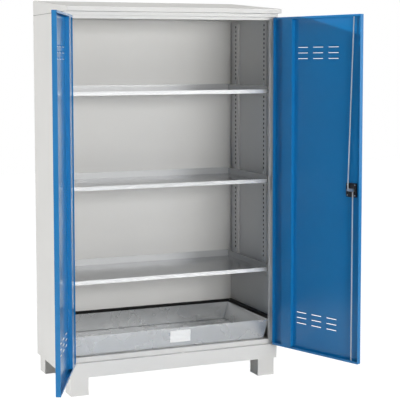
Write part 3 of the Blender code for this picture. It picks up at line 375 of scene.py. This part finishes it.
# %% Finishes on the solids
FINISHES = {
    "grey_paint": grey_paint,
    "blue_paint": blue_paint,
    "galvanised_sheet": shelf_zinc,
    "zinc_plated_steel": plated,
    "black_polyamide": polyamide,
    "seal_rubber": foam,
    "white_plate": plate_vinyl,
}
slot_of = {part["node"]: part["material_slot"] for part in frame["record"]["subparts"]}
for name, solid in frame["nodes"].items():
    finish = sump_zinc if name == "sump_tray" else FINISHES[slot_of[name]]
    for slot in solid.material_slots:
        slot.material = finish
    if not solid.material_slots:
        solid.data.materials.append(finish)
print("solids with a finish:", len(frame["nodes"]))

# %% [markdown]
# Small things repeat: weld beads, screws, weld marks. Each kind is a tree of geometry nodes that grows
# on a few points or lines. Its sizes are the tree's own inputs, so one tree serves several places. The
# grown result is turned into a plain mesh, because that is what rides on a body and leaves for other
# programs.

# %% Growing a piece on points and lines


def grow_tree(name, kinds):
    """A tree of geometry nodes with an input for each size, its two ends, and the inputs' identifiers."""
    tree = bpy.data.node_groups.new(name, "GeometryNodeTree")
    tree.interface.new_socket("Geometry", in_out="OUTPUT", socket_type="NodeSocketGeometry")
    tree.interface.new_socket("Geometry", in_out="INPUT", socket_type="NodeSocketGeometry")
    keys = {}
    for label, kind in kinds.items():
        keys[label] = tree.interface.new_socket(label, in_out="INPUT", socket_type=kind).identifier
    return tree, add(tree, "NodeGroupInput"), add(tree, "NodeGroupOutput"), keys


def finish_tree(tree, geometry, exit_node, finish):
    """End a tree with plain geometry in one finish."""
    real = add(tree, "GeometryNodeRealizeInstances", None, Geometry=geometry)
    done = add(tree, "GeometryNodeSetMaterial", None, Geometry=real.outputs["Geometry"], Material=finish)
    tree.links.new(done.outputs["Geometry"], exit_node.inputs["Geometry"])


def grown(name, points, lines, tree, keys, sizes, body):
    """Grow a tree on points and lines, and keep the result as a plain mesh that rides on a body."""
    base = bpy.data.meshes.new(name)
    base.from_pydata(points, lines, [])
    carrier = bpy.data.objects.new(name, base)
    bpy.context.scene.collection.objects.link(carrier)
    modifier = carrier.modifiers.new("grow", "NODES")
    modifier.node_group = tree
    for label, value in sizes.items():
        modifier[keys[label]] = value
    evaluated = carrier.evaluated_get(bpy.context.evaluated_depsgraph_get())
    made = bpy.data.meshes.new_from_object(evaluated)
    bpy.data.objects.remove(carrier, do_unlink=True)
    piece = bpy.data.objects.new(name, made)
    bpy.context.scene.collection.objects.link(piece)
    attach(piece, body)
    print(name, len(made.polygons), "faces on", body)
    return piece


# %% [markdown]
# The sump must hold liquid, so its sheets meet in continuous welds: up the four corners and round the
# floor. A weld bead is a ridge 4 to 5 mm wide whose width wavers as the torch moves on. The tree turns
# lines into curves, divides them every 2 mm, and sweeps a circle along them, which noise makes wider
# or narrower. Part of it lies in the steel. A thinner dark grey bead is laid the same way in the joint
# under the roof: its colour is painted shade, the shadow line of that joint.

# %% Beads of weld, and the painted shade bead in the roof joint
BEAD_STEP = 2 * MM
BEAD_SIDES = 8
RIPPLE = 3 * MM
WELD_RADIUS = 2.2 * MM
JOINT_SHADE_RADIUS = 1.0 * MM
RIPPLE_LOW = 0.8
RIPPLE_HIGH = 1.25
UNIT_RADIUS = 1.0
WELD_SHADES = ("#8E9092", "#B4B6B7")
WELD_ROUGHNESS = (0.35, 0.5)
# Painted shade: the roof joint's bead is dark grey to draw the joint's shadow line
JOINT_SHADE_DEPTH = 0.05 * MM
JOINT_SHADE_TONES = ("#5A5A58", "#6A6A68")
JOINT_SHADE_ROUGHNESS = (0.5, 0.65)
weld_metal = plated_steel("bare_weld_metal", WELD_SHADES, WELD_ROUGHNESS)
joint_shade_finish = grained("painted_joint_shade", JOINT_SHADE_TONES, JOINT_SHADE_ROUGHNESS, RIPPLE, JOINT_SHADE_DEPTH)


def bead_tree(name, finish):
    """A tree that sweeps a bead of wavering thickness along lines."""
    tree, entry, exit_node, keys = grow_tree(name, {"Radius": "NodeSocketFloat", "Step": "NodeSocketFloat"})
    curve = add(tree, "GeometryNodeMeshToCurve", None, Mesh=entry.outputs["Geometry"])
    even = add(tree, "GeometryNodeResampleCurve", {"mode": "LENGTH"}, Curve=curve.outputs["Curve"],
               Length=entry.outputs["Step"])
    ripple = add(tree, "ShaderNodeTexNoise", None, Scale=1 / RIPPLE)
    width = add(tree, "ShaderNodeMapRange", None, Value=ripple.outputs["Fac"], To_Min=RIPPLE_LOW,
                To_Max=RIPPLE_HIGH)
    thick = add(tree, "ShaderNodeMath", {"operation": "MULTIPLY"}, _0=width.outputs["Result"],
                _1=entry.outputs["Radius"])
    circle = add(tree, "GeometryNodeCurvePrimitiveCircle", None, Resolution=BEAD_SIDES, Radius=UNIT_RADIUS)
    swept = add(tree, "GeometryNodeCurveToMesh", None, Curve=even.outputs["Curve"],
                Profile_Curve=circle.outputs["Curve"], Scale=thick.outputs[0], Fill_Caps=True)
    finish_tree(tree, swept.outputs["Mesh"], exit_node, finish)
    return tree, keys


weld_tree, weld_keys = bead_tree("weld_bead", weld_metal)
joint_shade_tree, joint_shade_keys = bead_tree("painted_joint_shade_bead", joint_shade_finish)

# %% Welds in the sump
# The basin's inside, from the cabinet's left side and front plane, as the model has it
BASIN_FLOOR_SIDE = 0.061
BASIN_FLOOR_FRONT = 0.055
BASIN_FLOOR_REAR = 0.573
BASIN_TOP_SIDE = 0.032
BASIN_TOP_FRONT = 0.0482
BASIN_TOP_REAR = 0.5743
BASIN_FLOOR = 0.205
BELOW_RIM = 3 * MM
CABINET_WIDTH = panel_high[0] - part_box("left_side_panel")[0][0]
basin_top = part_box("sump_tray")[1][2] - BELOW_RIM


def ring_points(side, front, rear, height):
    """The four corners of a level rectangle in the basin, in the model's frame."""
    far_side = CABINET_WIDTH - side
    return [BODY_CORNER + Vector(p) for p in ((side, front, height), (far_side, front, height),
                                              (far_side, rear, height), (side, rear, height))]


basin_points = ring_points(BASIN_FLOOR_SIDE, BASIN_FLOOR_FRONT, BASIN_FLOOR_REAR, BASIN_FLOOR)
basin_points += ring_points(BASIN_TOP_SIDE, BASIN_TOP_FRONT, BASIN_TOP_REAR, basin_top)
sizes = {"Radius": WELD_RADIUS, "Step": BEAD_STEP}
grown("sump_floor_welds", basin_points[:4], [(0, 1), (1, 2), (2, 3), (3, 0)], weld_tree, weld_keys, sizes,
      "carcass")
for number, (low, high) in enumerate(((0, 4), (1, 5), (2, 6), (3, 7))):
    grown(f"sump_corner_weld_{number + 1}", [basin_points[low], basin_points[high]], [(0, 1)], weld_tree,
          weld_keys, sizes, "carcass")

# %% Painted shade in the joint under the roof
joint_height = panel_high[2]
body_depth = panel_high[1] - BODY_CORNER.y
sizes = {"Radius": JOINT_SHADE_RADIUS, "Step": BEAD_STEP}
for side, x in (("left", 0.0), ("right", CABINET_WIDTH)):
    start = BODY_CORNER + Vector((x, JOINT_SHADE_RADIUS, joint_height))
    end = BODY_CORNER + Vector((x, body_depth - JOINT_SHADE_RADIUS, joint_height))
    grown(f"roof_joint_painted_shade_{side}", [start, end], [(0, 1)], joint_shade_tree, joint_shade_keys, sizes,
          "carcass")

# %% [markdown]
# Each door's stiffener is spot welded through its flanges. The electrodes leave a round mark about 6 mm
# across every 80 mm, and the paint goes over it. Four screws hold the lock's housing. Both grow on
# points: the tree puts one small shape on each point and turns it to face away from the door.

# %% Places on an open door
HINGE_FROM_SIDE = 0.0105
HINGE_AHEAD = 0.005
DOOR_FROM_SIDE = 0.0135
OPEN_ANGLES = {"left": math.radians(-114.26), "right": math.radians(110.72)}


def on_door(side, across, deep, height):
    """A place on an open door: across from its hinge edge, deep from its outer face, and its height."""
    sign = 1 if side == "left" else -1
    hinge_x = HINGE_FROM_SIDE if side == "left" else CABINET_WIDTH - HINGE_FROM_SIDE
    arm = Vector((sign * (DOOR_FROM_SIDE - HINGE_FROM_SIDE + across), deep + HINGE_AHEAD, 0))
    arm.rotate(Matrix.Rotation(OPEN_ANGLES[side], 3, "Z"))
    return BODY_CORNER + Vector((hinge_x, -HINGE_AHEAD, height)) + arm


def door_facing(side):
    """The way the inside of an open door faces, as a vector of length one."""
    return on_door(side, 0, 1, 0) - on_door(side, 0, 0, 0)


# %% Weld marks on the stiffeners
# The middles of the two flanges, from the door's hinge edge, and how far in their face lies
FLANGES = (0.0585, 0.142)
FLANGE_FACE = 0.0027
MARK_RADIUS = 3 * MM
MARK_HEIGHT = 0.5 * MM
MARK_PITCH = 80 * MM
MARK_SIDES = 16
MARK_TOP_SHARE = 0.7


def stud_tree(name, finish, top_share):
    """A tree that puts one low cone on each point, wider at its foot."""
    tree, entry, exit_node, keys = grow_tree(name, {
        "Radius": "NodeSocketFloat", "Height": "NodeSocketFloat", "Facing": "NodeSocketVector"})
    top = add(tree, "ShaderNodeMath", {"operation": "MULTIPLY"}, _0=entry.outputs["Radius"], _1=top_share)
    cone = add(tree, "GeometryNodeMeshCone", None, Vertices=MARK_SIDES, Radius_Top=top.outputs[0],
               Radius_Bottom=entry.outputs["Radius"], Depth=entry.outputs["Height"])
    turn_to = add(tree, "FunctionNodeAlignRotationToVector", {"axis": "Z"}, Vector=entry.outputs["Facing"])
    points = add(tree, "GeometryNodeMeshToPoints", None, Mesh=entry.outputs["Geometry"])
    placed = add(tree, "GeometryNodeInstanceOnPoints", None, Points=points.outputs["Points"],
                 Instance=cone.outputs["Mesh"], Rotation=turn_to.outputs["Rotation"])
    finish_tree(tree, placed.outputs["Instances"], exit_node, finish)
    return tree, keys


mark_tree, mark_keys = stud_tree("spot_weld_mark", blue_paint, MARK_TOP_SHARE)
stiffener_low, stiffener_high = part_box("left_door_stiffener")
marks = int((stiffener_high[2] - stiffener_low[2]) / MARK_PITCH)
first = (stiffener_low[2] + stiffener_high[2]) / 2 - (marks - 1) / 2 * MARK_PITCH
for side in ("left", "right"):
    points = [on_door(side, across, FLANGE_FACE, first + MARK_PITCH * i)
              for across in FLANGES for i in range(marks)]
    sizes = {"Radius": MARK_RADIUS, "Height": MARK_HEIGHT, "Facing": door_facing(side)}
    grown(f"{side}_door_weld_marks", points, [], mark_tree, mark_keys, sizes, f"{side}_door")

# %% Screws in the lock's housing
SCREW_RADIUS = 3.4 * MM
SCREW_HEIGHT = 1.8 * MM
SCREW_TOP_SHARE = 0.75
SCREW_ACROSS = 0.0245
SCREW_UP = 0.0275
LOCK_ACROSS = 0.533
HOUSING_FACE = 0.01
lock_middle = (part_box("lock_housing")[0][2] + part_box("lock_housing")[1][2]) / 2
screw_tree, screw_keys = stud_tree("pan_head_screw", plated, SCREW_TOP_SHARE)
points = [on_door("right", LOCK_ACROSS + a * SCREW_ACROSS, HOUSING_FACE, lock_middle + b * SCREW_UP)
          for a in (-1, 1) for b in (-1, 1)]
sizes = {"Radius": SCREW_RADIUS, "Height": SCREW_HEIGHT, "Facing": door_facing("right")}
grown("lock_housing_screws", points, [], screw_tree, screw_keys, sizes, "right_door")

# %% [markdown]
# The picture is a studio cut-out on white. Most light comes from a large softbox in front and to the
# right: the back wall darkens toward the right, where the open right door stands in the way, and the
# inside of the right wall gets almost nothing. A weaker one straight in front fills the inside, because
# nothing stands in its way. One overhead lights the roof and the tops of the doors, and one on the left
# the inside of the right door. A small lamp far off behind on the left lights the body's side. Over the
# roof's front edge it draws the sharp bright triangle on the right door's top. The lamps leave no mirror
# image: what shiny faces mirror is the white set around them.

# %% Softboxes
# The place that every light looks at
AIM = Vector((0.546, 0.245, 1.0))
# The place, width, height and power of each light
SOFTBOXES = {
    "front_softbox": ((2.5, -6.4, 2.1), 3.8, 1.4, 265),
    "fill_softbox": ((0.55, -7.5, 1.6), 2.0, 1.0, 125),
    "top_softbox": ((0.5, 0.1, 5.0), 3.0, 2.4, 88),
    "left_softbox": ((-4.6, -1.9, 1.3), 1.6, 1.8, 38),
    "left_lamp": ((-21.2, 7.85, 4.42), 0.25, 0.25, 3900),
}


def softbox(name, place, width, height, power):
    """A rectangular area light that looks at the middle of the cabinet."""
    data = bpy.data.lights.new(name, "AREA")
    data.shape = "RECTANGLE"
    data.size = width
    data.size_y = height
    data.energy = power
    made = bpy.data.objects.new(name, data)
    bpy.context.scene.collection.objects.link(made)
    made.location = place
    made.rotation_euler = (AIM - made.location).to_track_quat("-Z", "Y").to_euler()
    made.visible_glossy = False
    made.visible_camera = False
    print(name, power, "W")


for name, (position, width, height, power) in SOFTBOXES.items():
    softbox(name, Vector(position), width, height, power)

# %% [markdown]
# The camera sees plain white behind the cabinet. Shiny faces see a set that is brighter on the right,
# where the main softbox and its white flats stand, and darker on the left. Only mirror images show that
# set. The little light that comes from all around is a separate, low number.

# %% White surroundings
SKY_LIGHT = 0.06
SET_DARK = 0.35
SET_BRIGHT = 1.1
BRIGHT_SIDE = Vector((0.64, -0.77, 0.0))
SET_FROM = -0.2
SET_TO = 0.9
BACKDROP_WHITE = 1.0
world = bpy.data.worlds.new("white_studio")
bpy.context.scene.world = world
world.use_nodes = True
sky = world.node_tree
paths = add(sky, "ShaderNodeLightPath").outputs
way = add(sky, "ShaderNodeTexCoord").outputs["Generated"]
toward = add(sky, "ShaderNodeVectorMath", {"operation": "DOT_PRODUCT"}, _0=way,
             _1=BRIGHT_SIDE).outputs["Value"]
mirrored = add(sky, "ShaderNodeMapRange", {"interpolation_type": "SMOOTHSTEP"}, Value=toward,
               From_Min=SET_FROM, From_Max=SET_TO, To_Min=SET_DARK, To_Max=SET_BRIGHT).outputs["Result"]
lit = add(sky, "ShaderNodeMix", NUMBER, _0=paths["Is Glossy Ray"], _2=SKY_LIGHT, _3=mirrored).outputs[0]
shown = add(sky, "ShaderNodeMix", NUMBER, _0=paths["Is Camera Ray"], _2=lit, _3=BACKDROP_WHITE).outputs[0]
background = sky.nodes["Background"]
background.inputs["Color"].default_value = (1, 1, 1, 1)
sky.links.new(shown, background.inputs["Strength"])

# %% [markdown]
# The floor is a large white sheet. For the camera most of it glows plain white, so it meets the
# background without a line, and the rest still shows the cabinet's soft shadow. In mirror images it
# doesn't glow.

# %% Floor
FLOOR_HALF = 12.0
FLOOR_GLOW_SHARE = 0.88
FLOOR_WHITE = 1.14
FLOOR_SHADE = "#F0F0F0"
FLOOR_ROUGHNESS = 0.9
floor_mesh = bpy.data.meshes.new("studio_floor")
near, far = -FLOOR_HALF, FLOOR_HALF
corners = [(near, near, 0), (far, near, 0), (far, far, 0), (near, far, 0)]
floor_mesh.from_pydata(corners, [], [(0, 1, 2, 3)])
floor = bpy.data.objects.new("studio_floor", floor_mesh)
bpy.context.scene.collection.objects.link(floor)
floor_finish, floor_tree, floor_shader, _ = finish_of("white_studio_floor", FLOOR_ROUGHNESS)
floor_shader.inputs["Base Color"].default_value = linear(FLOOR_SHADE)
paths = add(floor_tree, "ShaderNodeLightPath").outputs
glow = add(floor_tree, "ShaderNodeEmission", None, Color=(1, 1, 1, 1), Strength=FLOOR_WHITE)
share = add(floor_tree, "ShaderNodeMath", {"operation": "MULTIPLY"},
            _0=paths["Is Camera Ray"], _1=FLOOR_GLOW_SHARE)
mixed = add(floor_tree, "ShaderNodeMixShader", None,
            _0=share.outputs[0], _1=floor_shader.outputs[0], _2=glow.outputs[0])
floor_tree.links.new(mixed.outputs[0], floor_tree.nodes["Material Output"].inputs["Surface"])
floor_mesh.materials.append(floor_finish)
